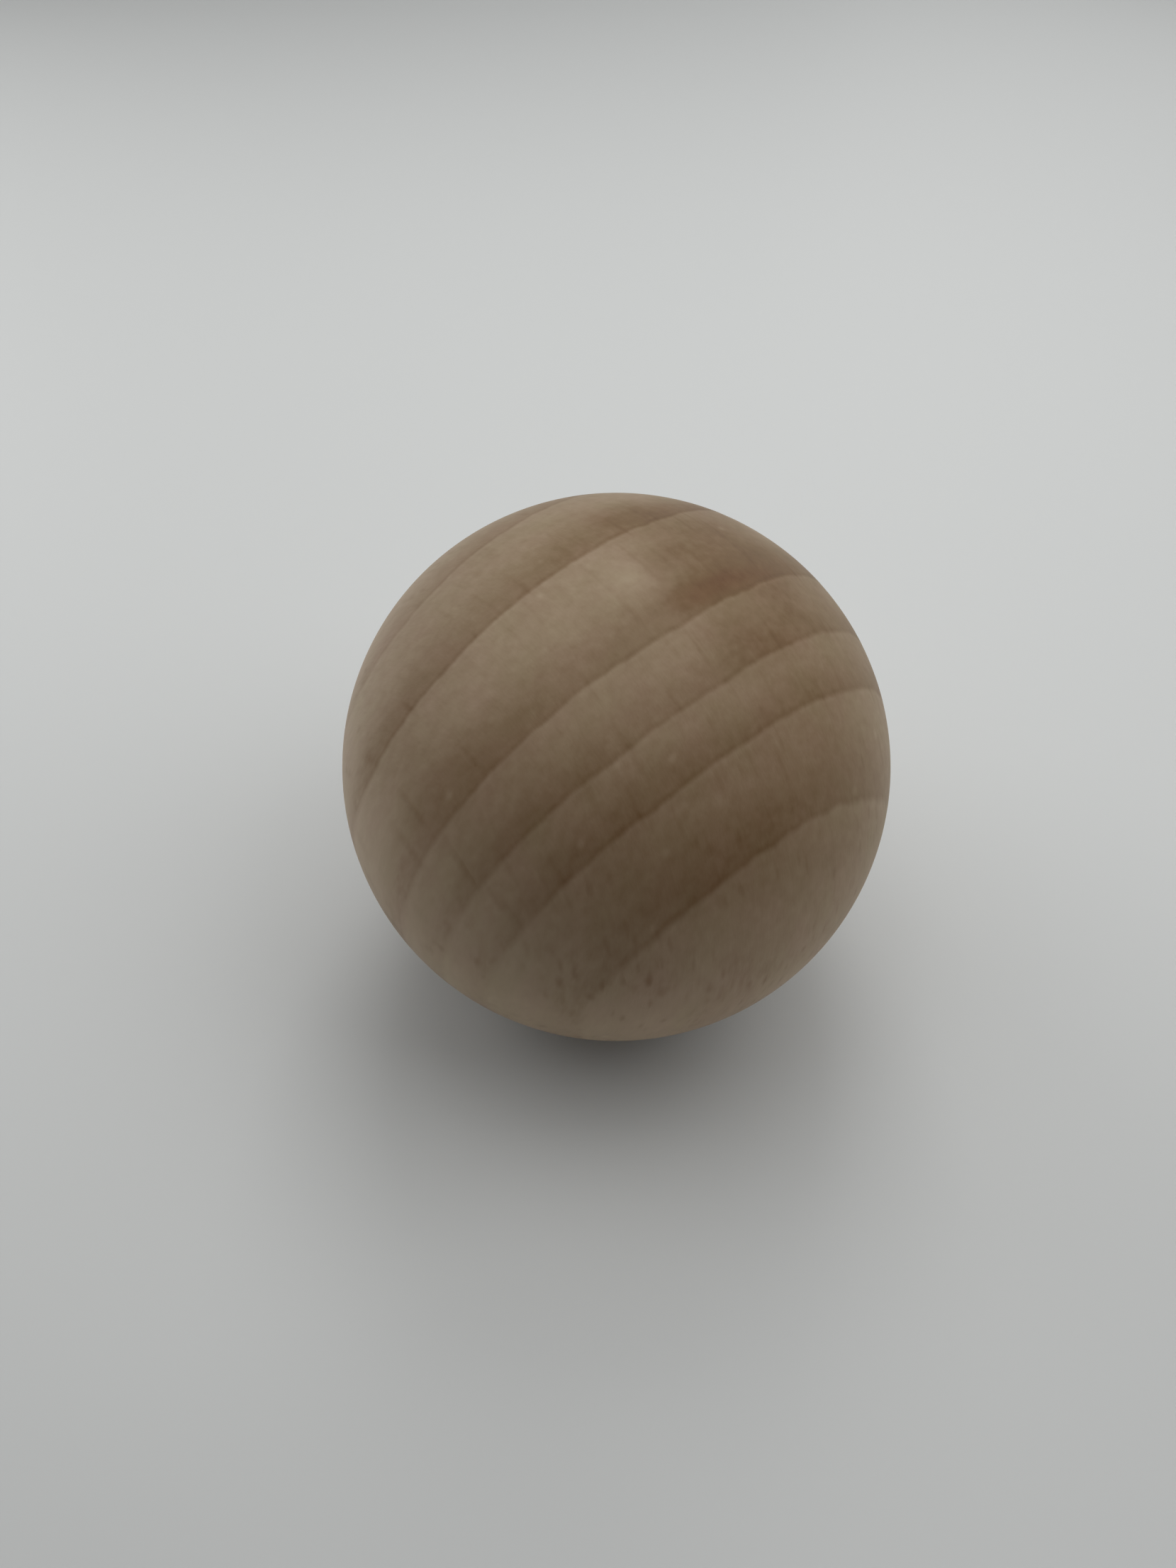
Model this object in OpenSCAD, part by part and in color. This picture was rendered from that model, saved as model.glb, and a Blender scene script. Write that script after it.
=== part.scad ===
// Plain wooden ball, turned and sanded from one piece of close-grained hardwood.
// Millimetres, +Z up, with the origin at the centre of the ball.
// A round ball has no flat: it touches what it lies on at one point, a radius below the origin.

/* [Ball] */

// Diameter of the finished ball, measured across any centre line
ball_d = 50; // [20:1:100]

/* [Hidden] */

// Facets round the equator in a preview; the solid itself is a true sphere
preview_facets = 128;

// Pale greyish brown of sanded beech, the mean of its darker end grain and paler side grain
wood_colour = [0.66, 0.57, 0.47];

// The ball is a single solid, with no bore, stem or join.
module ball() {
    color(wood_colour)
        sphere(d = ball_d, $fn = preview_facets);
}

ball();
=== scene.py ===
# %% [markdown]
# # A turned wooden ball
#
# This lesson gives a plain ball of beech its looks. The real one is turned from a single piece of
# solid wood and sanded, with no varnish, so all there is to see is the wood itself: growth rings
# cut through at every angle, fine rays, and a dull, slightly soft sheen.
#
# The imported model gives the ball's size and place, in metres, with +Z up and the origin at its
# centre. Everything here is worked out from that box, so the lesson follows the model if it grows.

# %% Load the model
import math

import bpy
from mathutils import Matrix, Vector


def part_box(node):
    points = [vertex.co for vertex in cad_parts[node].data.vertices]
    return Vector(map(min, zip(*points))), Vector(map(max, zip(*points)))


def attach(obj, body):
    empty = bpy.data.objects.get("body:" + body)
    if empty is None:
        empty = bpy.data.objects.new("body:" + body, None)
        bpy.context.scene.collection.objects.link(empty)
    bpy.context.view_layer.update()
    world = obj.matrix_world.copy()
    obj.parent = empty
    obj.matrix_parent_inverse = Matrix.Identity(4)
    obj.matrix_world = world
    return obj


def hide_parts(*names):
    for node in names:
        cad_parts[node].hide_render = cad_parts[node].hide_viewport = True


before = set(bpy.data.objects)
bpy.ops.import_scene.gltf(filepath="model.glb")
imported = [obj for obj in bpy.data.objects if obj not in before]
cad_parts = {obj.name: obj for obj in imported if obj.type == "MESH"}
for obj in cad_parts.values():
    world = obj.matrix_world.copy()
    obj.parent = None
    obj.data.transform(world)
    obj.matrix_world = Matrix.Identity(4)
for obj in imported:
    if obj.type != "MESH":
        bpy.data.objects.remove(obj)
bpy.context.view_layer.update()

MM = 0.001
lowest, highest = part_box("ball")
radius = (highest.x - lowest.x) / 2
radius_mm = radius / MM
print(f"the ball is {2 * radius_mm:.1f} mm across and rests at z = {lowest.z / MM:.1f} mm")

# %% [markdown]
# ## The camera
#
# The ball is seen close up from above, the way a phone held over a table sees it. A near camera
# shows less than half of a ball, so its distance matters as much as its angle. Rather than type a
# distance, the lesson says how wide the ball looks, and works out where the lens has to be.

# %% Camera
CAMERA_HEIGHT = math.radians(52)    # above the level of the ball's centre
BALL_LOOKS_WIDE = math.radians(26.24)
AIM_LEFT = 0.0225                   # how far the lens aims past the ball, as a slope
AIM_BELOW = 0.0145
LENS_MM = 27
SENSOR_MM = 36
NEAREST_SEEN = 5 * MM

distance = radius / math.sin(BALL_LOOKS_WIDE / 2)
towards_camera = Vector((0, -math.cos(CAMERA_HEIGHT), math.sin(CAMERA_HEIGHT)))
image_right = Vector((1, 0, 0))
image_up = towards_camera.cross(image_right)
aim = -towards_camera - AIM_LEFT * image_right - AIM_BELOW * image_up

bpy.ops.object.select_all(action="DESELECT")
bpy.ops.object.camera_add(location=distance * towards_camera)
camera = bpy.context.object
camera.name = "camera"
camera.rotation_euler = aim.to_track_quat("-Z", "Y").to_euler()
camera.data.lens = LENS_MM
camera.data.sensor_width = SENSOR_MM
camera.data.clip_start = NEAREST_SEEN
bpy.context.scene.camera = camera
bpy.context.scene.view_settings.view_transform = "Standard"
print(f"the lens is {distance / MM:.0f} mm from the ball's centre")

# %% [markdown]
# ## Rough turning
#
# A turner starts with a square blank. So does this ball: a cube as wide as the finished ball. A UV
# sphere would be quicker, but it pinches at two poles, where fine patterns smear and shading
# shows a star. A cube that is cut into a grid and pushed out to a sphere has no poles at all.
#
# Before the cube is cut, its six sides are laid side by side on a flat map, three across and two
# up. The grid that is cut later inherits the map, so a texture baked from the wood gets nearly the
# same room everywhere on the ball.

# %% The blank and its flat map
MAP_COLUMNS = 3
MAP_ROWS = 2
MAP_GAP = 0.003                     # left free round each side, so that colours don't bleed over

bpy.ops.object.select_all(action="DESELECT")
bpy.ops.mesh.primitive_cube_add(size=2 * radius)
ball = bpy.context.object
ball.name = "turned_ball"
ball.data.name = "turned_ball"

flat_map = ball.data.uv_layers[0]
flat_map.name = "OFBake"            # the exporter bakes through a map of this name
for side in ball.data.polygons:
    left = (side.index % MAP_COLUMNS) / MAP_COLUMNS + MAP_GAP
    right = (side.index % MAP_COLUMNS + 1) / MAP_COLUMNS - MAP_GAP
    bottom = (side.index // MAP_COLUMNS) / MAP_ROWS + MAP_GAP
    top = (side.index // MAP_COLUMNS + 1) / MAP_ROWS - MAP_GAP
    corners = ((left, bottom), (right, bottom), (right, top), (left, top))
    for loop, corner in zip(side.loop_indices, corners):
        flat_map.data[loop].uv = corner
print(f"the blank has {len(ball.data.polygons)} sides")

# %% Cut the blank into a grid and push it out
ROUGH_CUTS = 3

bpy.ops.object.mode_set(mode="EDIT")
bpy.ops.mesh.select_all(action="SELECT")
bpy.ops.mesh.subdivide(number_cuts=ROUGH_CUTS)
bpy.ops.transform.tosphere(value=1.0)
bpy.ops.object.mode_set(mode="OBJECT")
print(f"after rough turning it has {len(ball.data.polygons)} faces")

# %% [markdown]
# ## Finish turning
#
# Two modifiers do the fine work. Subdivision Surface cuts the grid until its facets are a third of
# a millimetre, and Cast moves every point to exactly the ball's radius. Subdividing alone would
# leave the shape a little short of round.

# %% Subdivide and cast to a true sphere
FINE_CUTS = 5


def apply_modifier(piece, kind, name, **settings):
    """Adds a modifier to a piece, sets it up and applies it."""
    modifier = piece.modifiers.new(name, kind)
    for setting, value in settings.items():
        setattr(modifier, setting, value)
    bpy.ops.object.select_all(action="DESELECT")
    piece.select_set(True)
    bpy.context.view_layer.objects.active = piece
    bpy.ops.object.modifier_apply(modifier=modifier.name)


apply_modifier(
    ball,
    "SUBSURF",
    "fine cuts",
    levels=FINE_CUTS,
    render_levels=FINE_CUTS,
    uv_smooth="NONE",
)
apply_modifier(
    ball,
    "CAST",
    "true sphere",
    cast_type="SPHERE",
    factor=1.0,
    use_radius_as_size=False,
    size=radius,
)
bpy.ops.object.shade_smooth()
print(f"the finished ball has {len(ball.data.polygons)} faces")

# %% [markdown]
# ## How the ball lies in the tree
#
# Wood has three directions, and every mark on it follows them: along the fibres, outward from the
# pith to the bark, and across, round the tree. Here the fibres stand almost upright, so end grain
# shows on top and side grain all round the ball's waist.
#
# The rings are the tree's yearly layers, nearly flat here because the pith lies far off. They fan
# out slightly to one side and sway a little. The same sums are needed twice, for the surface and
# for the colour, so their numbers are named once.

# %% Directions and layers
along = Vector((0.17, -0.09, 0.98)).normalized()
outward = Vector((0.63, -0.76, -0.18))
outward = (outward - outward.dot(along) * along).normalized()
across = along.cross(outward)

PITH_DISTANCE = 500.0               # mm from the pith to the ball's centre
PITH_OFFSET = -9.1                  # mm that the pith lies to one side
FAN = 0.004                         # how much thicker the layers get with each mm across
FAN_CENTRE = 5.6                    # mm outward, where fanning moves nothing
SWAY = 0.185                        # mm that a layer sways in and out
SWAY_LENGTH = 33.0                  # mm from one sway to the next
SWAY_DRIFT = 0.79                   # how fast the sway moves across, layer by layer


def depth_in_tree(point):
    """How far outward in the tree a point of the ball lies, in mm, with the sway and the fan undone."""
    sideways = point.dot(across) / MM
    out = point.dot(outward) / MM
    depth = math.hypot(PITH_DISTANCE + out, sideways - PITH_OFFSET) - PITH_DISTANCE
    sway = SWAY * math.cos(2 * math.pi * (sideways + SWAY_DRIFT * depth) / SWAY_LENGTH)
    return (depth - FAN_CENTRE) / (1 + FAN * sideways) + FAN_CENTRE - sway


print(f"depth of the top of the ball: {depth_in_tree(Vector((0, 0, radius))):.1f} mm")

# %% [markdown]
# Each ring starts with pale, soft wood grown in spring, darkens through the summer, and ends at a
# thin dark line where growth stopped for the winter. A ring is described by where it starts, how
# dark its first and last wood are, and how far through it the darkening begins. Darkness runs from
# -1, the palest patch there is, past 1, ordinary summer wood, to 3, the darkest stain.

# %% The growth rings
# starts at (mm outward), spring darkness, summer darkness, share of the ring where it darkens
GROWTH_RINGS = (
    (-32.0, 0.50, 1.10, 0.40),
    (-23.2, 0.50, 1.10, 0.40),
    (-15.8, 0.60, 1.30, 0.40),
    (-7.5, 0.35, 1.15, 0.40),
    (2.3, 0.50, 1.15, 0.30),
    (7.7, 0.60, 1.40, 0.20),
    (12.1, 0.80, 1.35, 0.30),
    (18.7, 0.75, 1.20, 0.50),
    (25.2, 0.60, 1.20, 0.40),
)
SUMMER_ENDS = 0.93                  # share of a ring where its wood is darkest
LINE_ON_END = 0.40                  # how much darker the line is that ends a ring, on end grain
LINE_ON_SIDE = 0.10                 # and on side grain
LINE_WIDE = 0.65                    # mm before the end of a ring where the line begins
EDGE_ON_END = 0.5                   # mm over which one ring gives way to the next, on end grain
EDGE_ON_SIDE = 1.2                  # and on side grain


def ring_widths():
    """The width of each ring, in mm. The last is as wide as the one before it."""
    starts = [ring[0] for ring in GROWTH_RINGS]
    widths = [after - before for before, after in zip(starts, starts[1:])]
    return widths + widths[-1:]


def eased(value, low, high):
    """0 below low, 1 above high, and a smooth step between them."""
    share = min(max((value - low) / (high - low), 0), 1)
    return share * share * (3 - 2 * share)


def darkness_at(point):
    """How dark the growth rings are at a point of the ball, from about 0.3 to about 1.8."""
    depth = depth_in_tree(point)
    darkness = GROWTH_RINGS[0][1]
    for (start, spring, summer, darkens), width in zip(GROWTH_RINGS, ring_widths()):
        through = (depth - start) / width
        ring = spring + (summer - spring) * eased(through, darkens, SUMMER_ENDS)
        ring += LINE_ON_END * eased(depth, start + width - LINE_WIDE, start + width)
        inside = eased(depth, start - EDGE_ON_END / 2, start + EDGE_ON_END / 2)
        darkness += (ring - darkness) * inside
    return darkness


for start, width in zip((ring[0] for ring in GROWTH_RINGS), ring_widths()):
    print(f"ring from {start:6.2f} mm, {width:.1f} mm wide")

# %% [markdown]
# ## Sanding
#
# Sandpaper cuts soft spring wood faster than hard summer wood, so a sanded ball carries its rings
# as steps that a fingertip can just feel. A vertex group holds how soft the wood is at each point,
# and Displace presses the surface in by that share of a hundredth or two of a millimetre. Nothing
# stands out past the model's true radius.

# %% Press the spring wood in
SANDED_AWAY = 0.015 * MM
HARDEST = 2.0                       # darkness of wood that sanding leaves alone

softness = ball.vertex_groups.new(name="soft spring wood")
for vertex in ball.data.vertices:
    softness.add([vertex.index], 1 - min(darkness_at(vertex.co) / HARDEST, 1), "REPLACE")
apply_modifier(
    ball,
    "DISPLACE",
    "sanding",
    direction="NORMAL",
    mid_level=0.0,
    strength=-SANDED_AWAY,
    vertex_group=softness.name,
)
reach = [vertex.co.length / MM for vertex in ball.data.vertices]
print(f"the sanded radius runs from {min(reach):.3f} to {max(reach):.3f} mm")

# %% [markdown]
# ## Tools for making materials
#
# The colour of solid wood can't be wrapped round the ball like paper: where a ring meets the
# surface it has to turn into a line, a band or an oval all by itself. So the whole pattern is
# worked out from each point's place in the block of wood. A few short helpers keep that readable:
# one joins or sets a socket, one does a sum, one makes a smooth step, and two make and place
# node groups.

# %% Helpers for node trees
SOCKET_KINDS = {
    "number": "NodeSocketFloat",
    "colour": "NodeSocketColor",
    "vector": "NodeSocketVector",
}
SEED_STEP = (1.0, 0.7, 0.4)         # which way a seed moves a noise


def feed(tree, socket, source):
    """Joins a socket to the socket that feeds it, or sets it to a plain value."""
    if isinstance(source, bpy.types.NodeSocket):
        tree.links.new(source, socket)
    else:
        socket.default_value = source


def sum_up(tree, operation, *values):
    """One step of arithmetic on numbers, such as "ADD" or "MULTIPLY"."""
    node = tree.nodes.new("ShaderNodeMath")
    node.operation = operation
    for socket, value in zip(node.inputs, values):
        feed(tree, socket, value)
    return node.outputs["Value"]


def combine(tree, operation, *values):
    """One step of arithmetic on vectors. A dot product or a length comes out as a number."""
    node = tree.nodes.new("ShaderNodeVectorMath")
    node.operation = operation
    for socket, value in zip(node.inputs, values):
        feed(tree, socket, value)
    gives_number = operation in ("DOT_PRODUCT", "LENGTH")
    return node.outputs["Value" if gives_number else "Vector"]


def ease(tree, value, low, high, first=0.0, last=1.0):
    """A smooth step from first to last as value goes from low to high."""
    node = tree.nodes.new("ShaderNodeMapRange")
    node.interpolation_type = "SMOOTHSTEP"
    settings = {"Value": value, "From Min": low, "From Max": high, "To Min": first, "To Max": last}
    for name, setting in settings.items():
        feed(tree, node.inputs[name], setting)
    return node.outputs["Result"]


def mix_numbers(tree, share, first, second):
    """first where share is 0, second where it is 1."""
    node = tree.nodes.new("ShaderNodeMix")
    node.data_type = "FLOAT"
    for socket, value in zip([s for s in node.inputs if s.enabled], (share, first, second)):
        feed(tree, socket, value)
    return next(s for s in node.outputs if s.enabled)


def mix_colours(tree, share, first, second, way="MIX"):
    """first where share is 0, second where it is 1, or blended in another way."""
    node = tree.nodes.new("ShaderNodeMix")
    node.data_type = "RGBA"
    node.blend_type = way
    for socket, value in zip([s for s in node.inputs if s.enabled], (share, first, second)):
        feed(tree, socket, value)
    return next(s for s in node.outputs if s.enabled)


def noise(tree, place, stretch, seed, detail=2.0):
    """Soft noise about 0, from -0.5 to 0.5, with lumps as long as stretch says in mm each way."""
    shift = [seed * step for step in SEED_STEP]
    shifted = combine(tree, "ADD", combine(tree, "DIVIDE", place, stretch), shift)
    node = tree.nodes.new("ShaderNodeTexNoise")
    feed(tree, node.inputs["Vector"], shifted)
    feed(tree, node.inputs["Scale"], 1.0)
    feed(tree, node.inputs["Detail"], detail)
    return sum_up(tree, "SUBTRACT", node.outputs["Fac"], 0.5)


def new_group(title, takes, gives):
    """An empty node group. Returns it with the sockets that come in and the ones that go out."""
    group = bpy.data.node_groups.new(title, "ShaderNodeTree")
    for way, sockets in (("INPUT", takes), ("OUTPUT", gives)):
        for name, kind in sockets.items():
            group.interface.new_socket(name=name, in_out=way, socket_type=SOCKET_KINDS[kind])
    coming = group.nodes.new("NodeGroupInput").outputs
    going = group.nodes.new("NodeGroupOutput").inputs
    return group, coming, going


def place_group(tree, group, values):
    """Places a group in a tree with these values and returns its outputs."""
    node = tree.nodes.new("ShaderNodeGroup")
    node.node_tree = group
    for name, value in values.items():
        feed(tree, node.inputs[name], value)
    return node.outputs


def colour(red, green, blue):
    """A colour as it is read off a screen, 0 to 255, made ready for a colour socket."""
    shares = [channel / 255 for channel in (red, green, blue)]
    return (*[s / 12.92 if s <= 0.04045 else ((s + 0.055) / 1.055) ** 2.4 for s in shares], 1.0)


print("helpers are ready")

# %% [markdown]
# ## Finding a place in the wood
#
# The first group turns a place on the ball into a place in the tree: millimetres across, outward
# and along. A second one works out how deep in the tree that is, with the same fan and sway as the
# sanding, and adds some fine ripples, because no winter line is drawn with a ruler.

# %% Groups that find a place in the tree
# lumps (mm across, outward, along), strength (mm), seed
RIPPLES = (
    ((4.0, 14.0, 30.0), 0.45, 3.1),
    ((1.8, 7.0, 12.0), 0.42, 9.2),
    ((0.9, 4.0, 6.0), 0.20, 2.6),
)

grain, coming, going = new_group("place in the tree", {"Place": "vector"}, {"Grain": "vector"})
in_mm = combine(grain, "SCALE", coming["Place"])
in_mm.node.inputs["Scale"].default_value = 1 / MM
parts = grain.nodes.new("ShaderNodeCombineXYZ")
for socket, direction in zip(parts.inputs, (across, outward, along)):
    feed(grain, socket, combine(grain, "DOT_PRODUCT", in_mm, direction))
feed(grain, going["Grain"], parts.outputs["Vector"])

depth_group, coming, going = new_group("depth in the tree", {"Grain": "vector"}, {"Depth": "number"})
parts = depth_group.nodes.new("ShaderNodeSeparateXYZ")
feed(depth_group, parts.inputs["Vector"], coming["Grain"])
sideways = parts.outputs["X"]
out = parts.outputs["Y"]
from_pith = depth_group.nodes.new("ShaderNodeCombineXYZ")
feed(depth_group, from_pith.inputs["X"], sum_up(depth_group, "ADD", out, PITH_DISTANCE))
feed(depth_group, from_pith.inputs["Y"], sum_up(depth_group, "SUBTRACT", sideways, PITH_OFFSET))
depth = combine(depth_group, "LENGTH", from_pith.outputs["Vector"])
depth = sum_up(depth_group, "SUBTRACT", depth, PITH_DISTANCE)
turn = sum_up(depth_group, "MULTIPLY_ADD", depth, SWAY_DRIFT, sideways)
turn = sum_up(depth_group, "MULTIPLY", turn, 2 * math.pi / SWAY_LENGTH)
sway = sum_up(depth_group, "MULTIPLY", sum_up(depth_group, "COSINE", turn), SWAY)
fan = sum_up(depth_group, "MULTIPLY_ADD", sideways, FAN, 1.0)
unfanned = sum_up(depth_group, "DIVIDE", sum_up(depth_group, "SUBTRACT", depth, FAN_CENTRE), fan)
still = sum_up(depth_group, "SUBTRACT", sum_up(depth_group, "ADD", unfanned, FAN_CENTRE), sway)
for stretch, strength, seed in RIPPLES:
    ripple = noise(depth_group, coming["Grain"], stretch, seed)
    still = sum_up(depth_group, "MULTIPLY_ADD", ripple, strength, still)
feed(depth_group, going["Depth"], still)
print("two groups find a place in the tree")

# %% [markdown]
# ## Laying down the rings
#
# One group draws one ring over the wood that came before it, as the tree did. It is placed once
# for each line of the table above, each fed by the last, so adding a year is adding a line.

# %% The growth ring group
PALE_LINE = 0.16                    # how much paler the very first spring wood is
PALE_LINE_WIDE = 0.7                # mm

ring_group, coming, going = new_group(
    "growth ring",
    {
        "Depth": "number",
        "Wood before": "number",
        "Starts at": "number",
        "Width": "number",
        "Spring": "number",
        "Summer": "number",
        "Darkens from": "number",
        "Line": "number",
        "Edge": "number",
    },
    {"Wood": "number"},
)
past_start = sum_up(ring_group, "SUBTRACT", coming["Depth"], coming["Starts at"])
through = sum_up(ring_group, "DIVIDE", past_start, coming["Width"])
summer_share = ease(ring_group, through, coming["Darkens from"], SUMMER_ENDS)
wood = mix_numbers(ring_group, summer_share, coming["Spring"], coming["Summer"])
short_of_end = sum_up(ring_group, "SUBTRACT", past_start, coming["Width"])
line = ease(ring_group, short_of_end, -LINE_WIDE, 0.0, 0.0, coming["Line"])
wood = sum_up(ring_group, "ADD", wood, line)
pale = ease(ring_group, past_start, 0.0, PALE_LINE_WIDE, PALE_LINE, 0.0)
wood = sum_up(ring_group, "SUBTRACT", wood, pale)
half_edge = sum_up(ring_group, "MULTIPLY", coming["Edge"], 0.5)
short_edge = sum_up(ring_group, "MULTIPLY", coming["Edge"], -0.5)
inside = ease(ring_group, past_start, short_edge, half_edge)
feed(ring_group, going["Wood"], mix_numbers(ring_group, inside, coming["Wood before"], wood))


def lay_rings(tree, depth, summer_depth, line, edge):
    """Places a ring group for each growth ring and returns the darkness of the last."""
    darkness = GROWTH_RINGS[0][1]
    for (start, spring, summer, darkens), width in zip(GROWTH_RINGS, ring_widths()):
        darkest = sum_up(tree, "MULTIPLY_ADD", summer_depth, summer - spring, spring)
        values = {
            "Depth": depth,
            "Wood before": darkness,
            "Starts at": start,
            "Width": width,
            "Spring": spring,
            "Summer": darkest,
            "Darkens from": darkens,
            "Line": line,
            "Edge": edge,
        }
        darkness = place_group(tree, ring_group, values)["Wood"]
    return darkness


print(f"{len(GROWTH_RINGS)} rings are ready to lay down")

# %% [markdown]
# ## Rays, stains in the heart, and painted light
#
# Beech is known by its rays: thin sheets that run from the pith outward. On end grain they are
# fine lines across the rings, on the side that faces the bark short brown dashes, and on the
# quarter they are small shiny flecks. They all come from one pattern of flat cells, thin across,
# a few millimetres tall and long outward, cut by the surface wherever it happens to be.
#
# A stain is a soft patch round a point in the wood, ragged at its edge. It serves for the dark
# clouds and the red flush that grow in beech near its heart, and, with less than nothing added, for
# places that stayed pale. The same patches also paint light into the wood: a painted highlight on
# top, painted light on the ball's front and right side where the table and the room light it, and
# painted shade in part of the big dark cloud on top.

# %% Groups for rays, stains and painted light
RAGGED_LUMPS = (5.0, 4.0, 14.0)     # mm across, outward, along
RAGGEDNESS = 0.6
STAIN_HEART = 0.1                   # share of its reach where a stain has its full strength

ray_group, coming, going = new_group(
    "rays",
    {"Grain": "vector", "Cell": "vector", "Thickness": "number", "Missing": "number"},
    {"Ray": "number"},
)
cells = ray_group.nodes.new("ShaderNodeTexVoronoi")
feed(ray_group, cells.inputs["Vector"], combine(ray_group, "DIVIDE", coming["Grain"], coming["Cell"]))
feed(ray_group, cells.inputs["Scale"], 1.0)
ray = ease(ray_group, cells.outputs["Distance"], 0.0, coming["Thickness"], 1.0, 0.0)
chance = ray_group.nodes.new("ShaderNodeSeparateColor")
feed(ray_group, chance.inputs["Color"], cells.outputs["Color"])
boldness = ease(ray_group, chance.outputs["Red"], coming["Missing"], 1.0)
feed(ray_group, going["Ray"], sum_up(ray_group, "MULTIPLY", ray, boldness))

stain_and_painted_light_group, coming, going = new_group(
    "stain",
    {"Grain": "vector", "Middle": "vector", "Reach": "vector"},
    {"Stain": "number"},
)
off = combine(stain_and_painted_light_group, "SUBTRACT", coming["Grain"], coming["Middle"])
off = combine(stain_and_painted_light_group, "DIVIDE", off, coming["Reach"])
ragged = noise(stain_and_painted_light_group, coming["Grain"], RAGGED_LUMPS, seed=5.3)
far = sum_up(stain_and_painted_light_group, "MULTIPLY_ADD", ragged, RAGGEDNESS, combine(stain_and_painted_light_group, "LENGTH", off))
feed(stain_and_painted_light_group, going["Stain"], ease(stain_and_painted_light_group, far, STAIN_HEART, 1.0, 1.0, 0.0))
print("rays and stains are ready")

# %% [markdown]
# ## Sanded beech
#
# The material adds up one number, how dark the wood is, from the rings, the rays, the stains and
# the patches of painted light, and several sizes of noise, and turns it into colour only at the end.
# That keeps every mark in the same family of browns.
#
# End grain and side grain look different, so the rings and rays are drawn for each and mixed. How
# squarely the surface cuts the fibres is simply how far along the fibre axis a point of the ball
# lies. Summers differ too: a slow noise makes their wood darker here and paler there.

# %% Where and how dark the wood is
END_BEGINS = -0.05                  # squareness of the cut where side grain starts turning
END_FULL = 0.75                     # and where it has wholly turned into end grain
SUMMER_LUMPS = (9.0, 9.0, 24.0)     # mm across, outward, along
SUMMER_VARIES = 0.8

# middle (mm across, outward, along), reach (mm), added darkness
STAINS_AND_PAINTED_LIGHT = (
    # partly a dark cloud in the wood and partly painted shade, on top towards the right and back
    ((7.8, -2.5, 22.0), (12.0, 12.0, 24.0), 1.45),
    ((3.0, 0.8, 24.4), (9.0, 1.7, 10.0), 0.60),
    ((4.0, 6.0, 23.2), (9.0, 4.2, 14.0), 0.60),
    ((0.0, -10.0, 22.0), (9.0, 4.5, 14.0), 0.40),
    ((1.6, -4.2, 24.5), (3.5, 4.0, 8.0), 0.50),
    ((-8.0, 17.0, 16.0), (10.0, 4.5, 12.0), 0.25),
    ((-14.5, 14.5, 14.5), (4.5, 3.0, 10.0), 0.22),
    ((-20.5, -3.0, 12.5), (3.5, 9.0, 12.0), 0.35),
    ((-13.0, -4.0, 20.0), (8.0, 8.0, 20.0), -0.25),
    ((-10.0, 1.0, 21.5), (5.0, 6.0, 14.0), -0.30),
    ((-9.0, 7.5, 20.0), (5.0, 3.0, 12.0), -0.30),
    # painted light: a pale patch on the front left, for light from the table and the room
    ((-23.0, 12.0, 8.0), (5.0, 6.0, 10.0), -0.50),
    # painted light: a pale patch on the right side, where the ball catches more light than the lamps
    # give
    ((14.0, 16.0, 13.0), (11.0, 11.0, 14.0), -0.80),
    # painted highlight: a pale patch on top, where the light from behind shines
    ((-1.7, -3.0, 25.0), (2.8, 3.4, 8.0), -0.45),
    ((7.5, -5.5, 23.0), (5.0, 4.0, 10.0), 0.16),
    ((-4.5, -8.7, 23.0), (4.0, 3.0, 8.0), 0.14),
    ((-22.0, -5.0, 10.0), (4.0, 6.0, 9.0), 0.18),
    ((-12.8, 19.8, 7.0), (6.0, 3.0, 7.0), 0.28),
    ((12.6, 2.3, 21.5), (2.8, 2.0, 8.0), -0.24),
    ((5.5, 19.0, 15.0), (6.0, 4.0, 10.0), -0.15),
    # painted light: a pale patch on the front right, for light from the table
    ((0.0, 23.5, 8.0), (9.0, 4.5, 9.0), -0.30),
    # painted light: a pale patch low on the front left, for light from the table
    ((-22.0, 10.5, -4.0), (12.0, 14.0, 8.0), -0.60),
    ((5.0, -9.5, 22.3), (5.0, 3.0, 8.0), 0.20),
    ((10.5, 7.0, 21.5), (3.0, 1.9, 8.0), 0.16),
    ((10.0, -2.0, 22.5), (3.5, 3.0, 8.0), 0.10),
)

# lumps (mm across, outward, along), strength, seed
NOISES = (
    ((13.0, 8.0, 24.0), 0.50, 1.7),
    ((4.0, 3.0, 9.0), 0.45, 2.3),
    ((0.8, 0.8, 2.4), 0.95, 4.9),
    ((0.3, 0.5, 2.0), 0.30, 6.2),
)


def place_stain_and_painted_light(middle, reach):
    """Places the group for stains and painted light in the beech and returns its one output, 1 in the
    heart of the patch.
    """
    values = {"Grain": grain_place, "Middle": middle, "Reach": reach}
    return place_group(tree, stain_and_painted_light_group, values)["Stain"]


beech = bpy.data.materials.new("sanded beech")
beech.use_nodes = True
tree = beech.node_tree
shader = tree.nodes["Principled BSDF"]
place = tree.nodes.new("ShaderNodeTexCoord").outputs["Object"]
grain_place = place_group(tree, grain, {"Place": place})["Grain"]
depth = place_group(tree, depth_group, {"Grain": grain_place})["Depth"]

apart = tree.nodes.new("ShaderNodeSeparateXYZ")
feed(tree, apart.inputs["Vector"], grain_place)
grain_parts = apart.outputs
squareness = sum_up(tree, "DIVIDE", sum_up(tree, "ABSOLUTE", grain_parts["Z"]), radius_mm)
end_grain = ease(tree, squareness, END_BEGINS, END_FULL)

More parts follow.
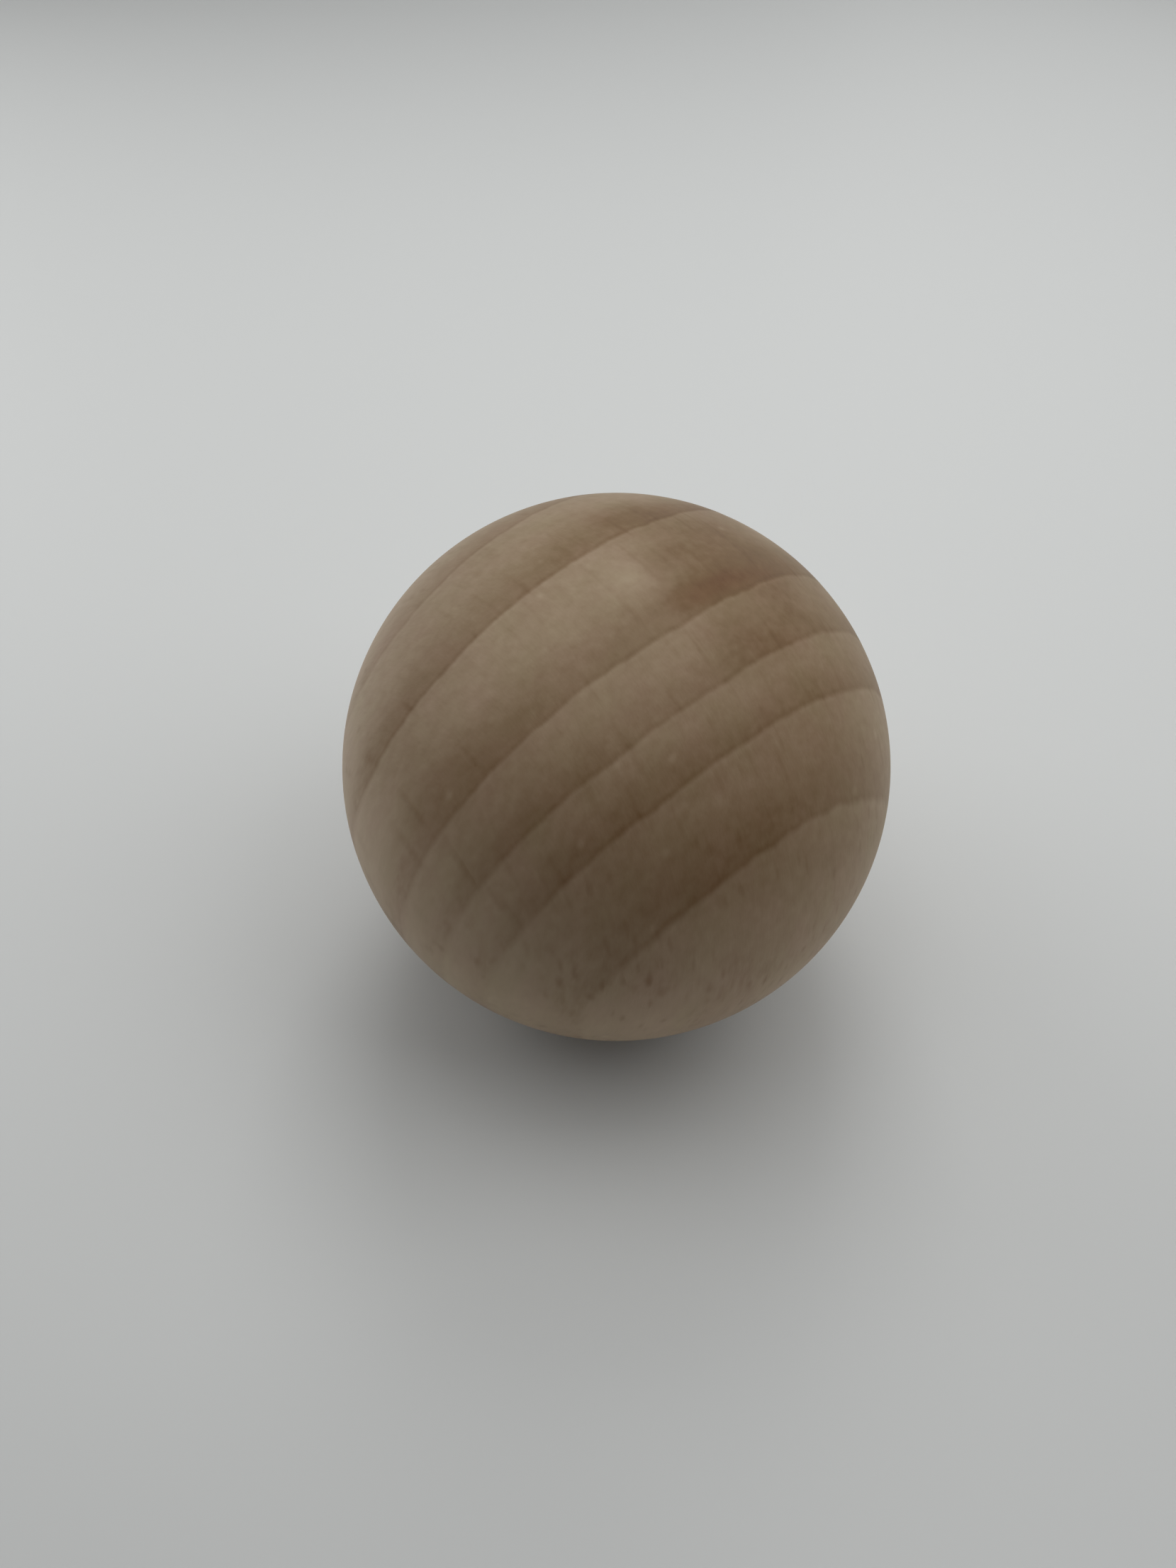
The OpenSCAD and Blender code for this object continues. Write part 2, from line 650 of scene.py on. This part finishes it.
summer_noise = noise(tree, grain_place, SUMMER_LUMPS, seed=8.4)
summer_depth = sum_up(tree, "MULTIPLY_ADD", summer_noise, SUMMER_VARIES, 1.0)
line = mix_numbers(tree, end_grain, LINE_ON_SIDE, LINE_ON_END)
edge = mix_numbers(tree, end_grain, EDGE_ON_SIDE, EDGE_ON_END)
darkness = lay_rings(tree, depth, summer_depth, line, edge)
for stretch, strength, seed in NOISES:
    darkness = sum_up(tree, "MULTIPLY_ADD", noise(tree, grain_place, stretch, seed), strength, darkness)
# stains, and among them a painted highlight, painted rim light and painted shade, from one table
for middle, reach, strength in STAINS_AND_PAINTED_LIGHT:
    darkness = sum_up(tree, "MULTIPLY_ADD", place_stain_and_painted_light(middle, reach), strength, darkness)

# %% Rays
RAY_ON_END = 0.35                   # how much darker a ray is than the wood round it, on end grain
RAY_ON_SIDE = 0.62                  # and on side grain

# room for one ray (mm across, outward, along), share of it that the ray fills, share of rays missing
RAYS = (
    ((0.9, 22.0, 2.8), 0.45, 0.50),
    ((0.75, 9.0, 2.8), 0.42, 0.00),
    ((1.7, 15.0, 3.6), 0.24, 0.20),
)
# rare pale flecks are drawn the same way
FLECK = ((2.5, 2.5, 5.0), 0.20, 0.30)
FLECK_DEPTH = -0.7


def place_rays(tree, grain_place, cell, thickness, missing):
    """Places the ray group and returns its one output, 1 in the heart of a ray."""
    values = {"Grain": grain_place, "Cell": cell, "Thickness": thickness, "Missing": missing}
    return place_group(tree, ray_group, values)["Ray"]


ray_depth = mix_numbers(tree, end_grain, RAY_ON_SIDE, RAY_ON_END)
for cell, thickness, missing in RAYS:
    rays = place_rays(tree, grain_place, cell, thickness, missing)
    darkness = sum_up(tree, "MULTIPLY_ADD", rays, ray_depth, darkness)
darkness = sum_up(tree, "MULTIPLY_ADD", place_rays(tree, grain_place, *FLECK), FLECK_DEPTH, darkness)

# %% [markdown]
# ## From darkness to colour
#
# Two palettes turn darkness into colour. End grain drinks in light between its open fibres, so it
# is darker and its rings stand out. Side grain is pale and its rings nearly fade away.
#
# Wood is never of one hue, so faint tints are laid over the palettes: a blush in soft lumps, another
# from golden to rosy from one side to the other, and a red streak in front of one ring's edge. One
# more tint turns slowly from grey at the ball's back left to warm at its front right.

# %% Colour
# darkness, colour
END_GRAIN_COLOURS = (
    (-1.0, colour(180, 161, 137)),
    (0.0, colour(164, 143, 118)),
    (1.0, colour(142, 119, 93)),
    (2.0, colour(120, 94, 65)),
    (3.0, colour(102, 75, 48)),
)
SIDE_GRAIN_COLOURS = (
    (-1.0, colour(214, 197, 172)),
    (0.0, colour(204, 185, 159)),
    (1.0, colour(191, 169, 143)),
    (2.0, colour(159, 130, 101)),
    (3.0, colour(136, 104, 75)),
)
BLUSH_LUMPS = (3.0, 3.0, 9.0)       # mm across, outward, along
BLUSH = 2.0                         # how strongly they colour
OLIVE = (0.975, 1.0, 0.965, 1.0)
PINK = (1.025, 1.0, 1.035, 1.0)

DRIFT_FROM = -30.0                  # mm outward, where the wood is greyest
DRIFT_TO = 26.0                     # and where it is warmest
GREY = (0.98, 1.0, 1.034, 1.0)
WARM = (1.02, 1.0, 0.97, 1.0)

TURN_ACROSS = -1.4                  # how much faster the redness turns across than outward
TURN_FROM = -60.0                   # mm, where the wood is most golden
TURN_TO = 65.0                      # and where it is rosiest
GOLDEN = (0.941, 1.0, 1.02, 1.0)
ROSY = (1.034, 1.0, 0.98, 1.0)

# the red streak in front of a ring's edge: middle and reach (mm across, outward, along)
STREAK = ((5.0, 0.8, 24.2), (7.5, 1.7, 9.0))
STREAK_RED = (1.07, 0.975, 0.975, 1.0)
PLAIN = (1.0, 1.0, 1.0, 1.0)


def palette(tree, darkness, colours):
    """Turns darkness into colour by a list of steps from the palest to the darkest."""
    palest = colours[0][0]
    span = colours[-1][0] - palest
    ramp = tree.nodes.new("ShaderNodeValToRGB")
    steps = ramp.color_ramp.elements
    for step in colours[1:-1]:
        steps.new((step[0] - palest) / span)
    for element, (dark, tint) in zip(steps, colours):
        element.position = (dark - palest) / span
        element.color = tint
    past_palest = sum_up(tree, "SUBTRACT", darkness, palest)
    feed(tree, ramp.inputs["Fac"], sum_up(tree, "DIVIDE", past_palest, span))
    return ramp.outputs["Color"]


side_colour = palette(tree, darkness, SIDE_GRAIN_COLOURS)
end_colour = palette(tree, darkness, END_GRAIN_COLOURS)
wood_colour = mix_colours(tree, end_grain, side_colour, end_colour)

blush = sum_up(tree, "MULTIPLY_ADD", noise(tree, grain_place, BLUSH_LUMPS, seed=12.6), BLUSH, 0.5)
tint = mix_colours(tree, blush, OLIVE, PINK)
wood_colour = mix_colours(tree, 1.0, wood_colour, tint, "MULTIPLY")

drift = ease(tree, depth, DRIFT_FROM, DRIFT_TO)
tint = mix_colours(tree, drift, GREY, WARM)
wood_colour = mix_colours(tree, 1.0, wood_colour, tint, "MULTIPLY")

turn = sum_up(tree, "MULTIPLY_ADD", grain_parts["X"], TURN_ACROSS, depth)
tint = mix_colours(tree, ease(tree, turn, TURN_FROM, TURN_TO), GOLDEN, ROSY)
wood_colour = mix_colours(tree, 1.0, wood_colour, tint, "MULTIPLY")

tint = mix_colours(tree, place_stain_and_painted_light(*STREAK), PLAIN, STREAK_RED)
wood_colour = mix_colours(tree, 1.0, wood_colour, tint, "MULTIPLY")
feed(tree, shader.inputs["Base Color"], wood_colour)

# %% [markdown]
# Bare sanded wood has hardly any shine. Hard summer wood takes a little more polish from the
# sandpaper than soft spring wood, a faint sheen stands for the fuzz of cut fibres, and the fibres
# and the last set of rays give the light something to catch on.

# %% Finish
ROUGH_SPRING = 0.63                 # roughness of wood whose darkness is 0 or less
ROUGH_SUMMER = 0.53                 # and of wood as dark as DARK_SUMMER, or darker
DARK_SUMMER = 2.0
SHINE = 0.18
SHEEN = 0.06
SHEEN_ROUGHNESS = 0.45
FIBRE_LUMPS = (0.2, 0.6, 3.0)       # mm across, outward, along
FIBRE_STRENGTH = 0.3
FIBRE_HEIGHT = 0.05 * MM

roughness = ease(tree, darkness, 0.0, DARK_SUMMER, ROUGH_SPRING, ROUGH_SUMMER)
feed(tree, shader.inputs["Roughness"], roughness)
shader.inputs["Specular IOR Level"].default_value = SHINE
shader.inputs["Sheen Weight"].default_value = SHEEN
shader.inputs["Sheen Roughness"].default_value = SHEEN_ROUGHNESS

fibres = sum_up(tree, "ADD", noise(tree, grain_place, FIBRE_LUMPS, seed=7.7), rays)
bump = tree.nodes.new("ShaderNodeBump")
feed(tree, bump.inputs["Height"], fibres)
feed(tree, bump.inputs["Strength"], FIBRE_STRENGTH)
feed(tree, bump.inputs["Distance"], FIBRE_HEIGHT)
feed(tree, shader.inputs["Normal"], bump.outputs["Normal"])

ball.data.materials.append(beech)
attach(ball, "root")
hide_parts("ball")
print(f"the wood is made of {len(tree.nodes)} nodes")

# %% [markdown]
# ## The table
#
# The ball lies on a plain, pale table. Out of the camera's reach the table fades into a backdrop of
# its own colour, so that a view from the side has no dark horizon. Only rays that look at it see
# that colour: it gives no light, and the ball keeps its shadow.

# %% Floor
TABLE_SIZE = 6.0                    # m
TABLE_COLOUR = (0.735, 0.750, 0.742, 1.0)
TABLE_ROUGHNESS = 0.5
TABLE_SHINE = 0.3
BACKDROP_COLOUR = (0.60, 0.61, 0.605, 1.0)
FADE_FROM = 0.30                    # m from the ball
FADE_TO = 0.37


def seen_share(tree):
    """1 for a ray that looks at a thing or is mirrored by one, and 0 for a ray that lights."""
    path = tree.nodes.new("ShaderNodeLightPath").outputs
    mirrored = sum_up(tree, "MAXIMUM", path["Is Glossy Ray"], path["Is Transmission Ray"])
    return sum_up(tree, "MAXIMUM", path["Is Camera Ray"], mirrored)


bpy.ops.object.select_all(action="DESELECT")
bpy.ops.mesh.primitive_plane_add(size=TABLE_SIZE, location=(0, 0, lowest.z))
table = bpy.context.object
table.name = "table"
bpy.ops.object.transform_apply(location=True, rotation=True, scale=True)

pale = bpy.data.materials.new("pale table")
pale.use_nodes = True
tree = pale.node_tree
shader = tree.nodes["Principled BSDF"]
shader.inputs["Base Color"].default_value = TABLE_COLOUR
shader.inputs["Roughness"].default_value = TABLE_ROUGHNESS
shader.inputs["Specular IOR Level"].default_value = TABLE_SHINE
place = tree.nodes.new("ShaderNodeTexCoord").outputs["Object"]
far_off = ease(tree, combine(tree, "LENGTH", place), FADE_FROM, FADE_TO)
backdrop = tree.nodes.new("ShaderNodeEmission")
backdrop.inputs["Color"].default_value = BACKDROP_COLOUR
fade = tree.nodes.new("ShaderNodeMixShader")
feed(tree, fade.inputs["Fac"], sum_up(tree, "MULTIPLY", far_off, seen_share(tree)))
feed(tree, fade.inputs[1], shader.outputs["BSDF"])
feed(tree, fade.inputs[2], backdrop.outputs["Emission"])
feed(tree, tree.nodes["Material Output"].inputs["Surface"], fade.outputs["Shader"])
table.data.materials.append(pale)
print(f"the table lies at z = {lowest.z / MM:.1f} mm")

# %% [markdown]
# ## Light
#
# The light comes from a bright window side behind the ball, spread over half the room. Seven soft
# boxes stand for it, and the one straight behind is smaller, so that it leaves a faint shine on
# top. The camera's own side stays dark, which is why the ball is deepest brown where it faces the
# lens, and why its lower rim is lit only by the table.
#
# A black flag stands across the camera's side, as in a studio. It casts no shadow and the camera
# looks through it: it is there only to be mirrored, so that the pale backdrop isn't.

# %% Soft boxes and the room
BOX_DISTANCE = 0.30                 # m from the ball's centre
FLAG_SIZE = 0.42                    # m
FLAG_DISTANCE = 0.16
FLAG_COLOUR = (0.02, 0.02, 0.02, 1.0)
FILL = 0.02                         # light from the room itself, from all sides

# name, turn from the right towards the back and height above the table (degrees), size (m), power (W)
SOFT_BOXES = (
    ("right", 0, 50, 0.22, 0.254),
    ("back", 90, 50, 0.12, 0.150),
    ("back_high", 90, 75, 0.22, 0.142),
    ("right_high", 45, 75, 0.22, 0.090),
    ("left", 180, 62, 0.22, 0.131),
    ("low_left", 150, 22, 0.22, 0.209),
    ("low_right", 60, 22, 0.22, 0.095),
)

for name, turn, height, size, power in SOFT_BOXES:
    turned = math.radians(turn)
    raised = math.radians(height)
    level = Vector((math.cos(turned), math.sin(turned), 0))
    towards = math.cos(raised) * level + math.sin(raised) * Vector((0, 0, 1))
    where = BOX_DISTANCE * towards
    bpy.ops.object.select_all(action="DESELECT")
    bpy.ops.object.light_add(type="AREA", location=where)
    lamp = bpy.context.object
    lamp.name = "softbox_" + name
    lamp.rotation_euler = (-towards).to_track_quat("-Z", "Y").to_euler()
    lamp.data.size = size
    lamp.data.energy = power
    lamp.visible_camera = False

bpy.ops.object.select_all(action="DESELECT")
bpy.ops.mesh.primitive_plane_add(size=FLAG_SIZE, location=FLAG_DISTANCE * towards_camera)
flag = bpy.context.object
flag.name = "dark_flag"
flag.rotation_euler = towards_camera.to_track_quat("Z", "Y").to_euler()
flag.visible_camera = False
flag.visible_diffuse = False
flag.visible_transmission = False
flag.visible_shadow = False
black = bpy.data.materials.new("black cloth")
black.use_nodes = True
shader = black.node_tree.nodes["Principled BSDF"]
shader.inputs["Base Color"].default_value = FLAG_COLOUR
shader.inputs["Specular IOR Level"].default_value = 0.0
flag.data.materials.append(black)

room = bpy.data.worlds.new("room")
bpy.context.scene.world = room
room.use_nodes = True
tree = room.node_tree
fill = tree.nodes["Background"]
fill.inputs["Color"].default_value = (1.0, 1.0, 1.0, 1.0)
fill.inputs["Strength"].default_value = FILL
backdrop = tree.nodes.new("ShaderNodeBackground")
backdrop.inputs["Color"].default_value = BACKDROP_COLOUR
choose = tree.nodes.new("ShaderNodeMixShader")
feed(tree, choose.inputs["Fac"], seen_share(tree))
feed(tree, choose.inputs[1], fill.outputs["Background"])
feed(tree, choose.inputs[2], backdrop.outputs["Background"])
feed(tree, tree.nodes["World Output"].inputs["Surface"], choose.outputs["Shader"])
print(f"{len(SOFT_BOXES)} soft boxes light the ball")
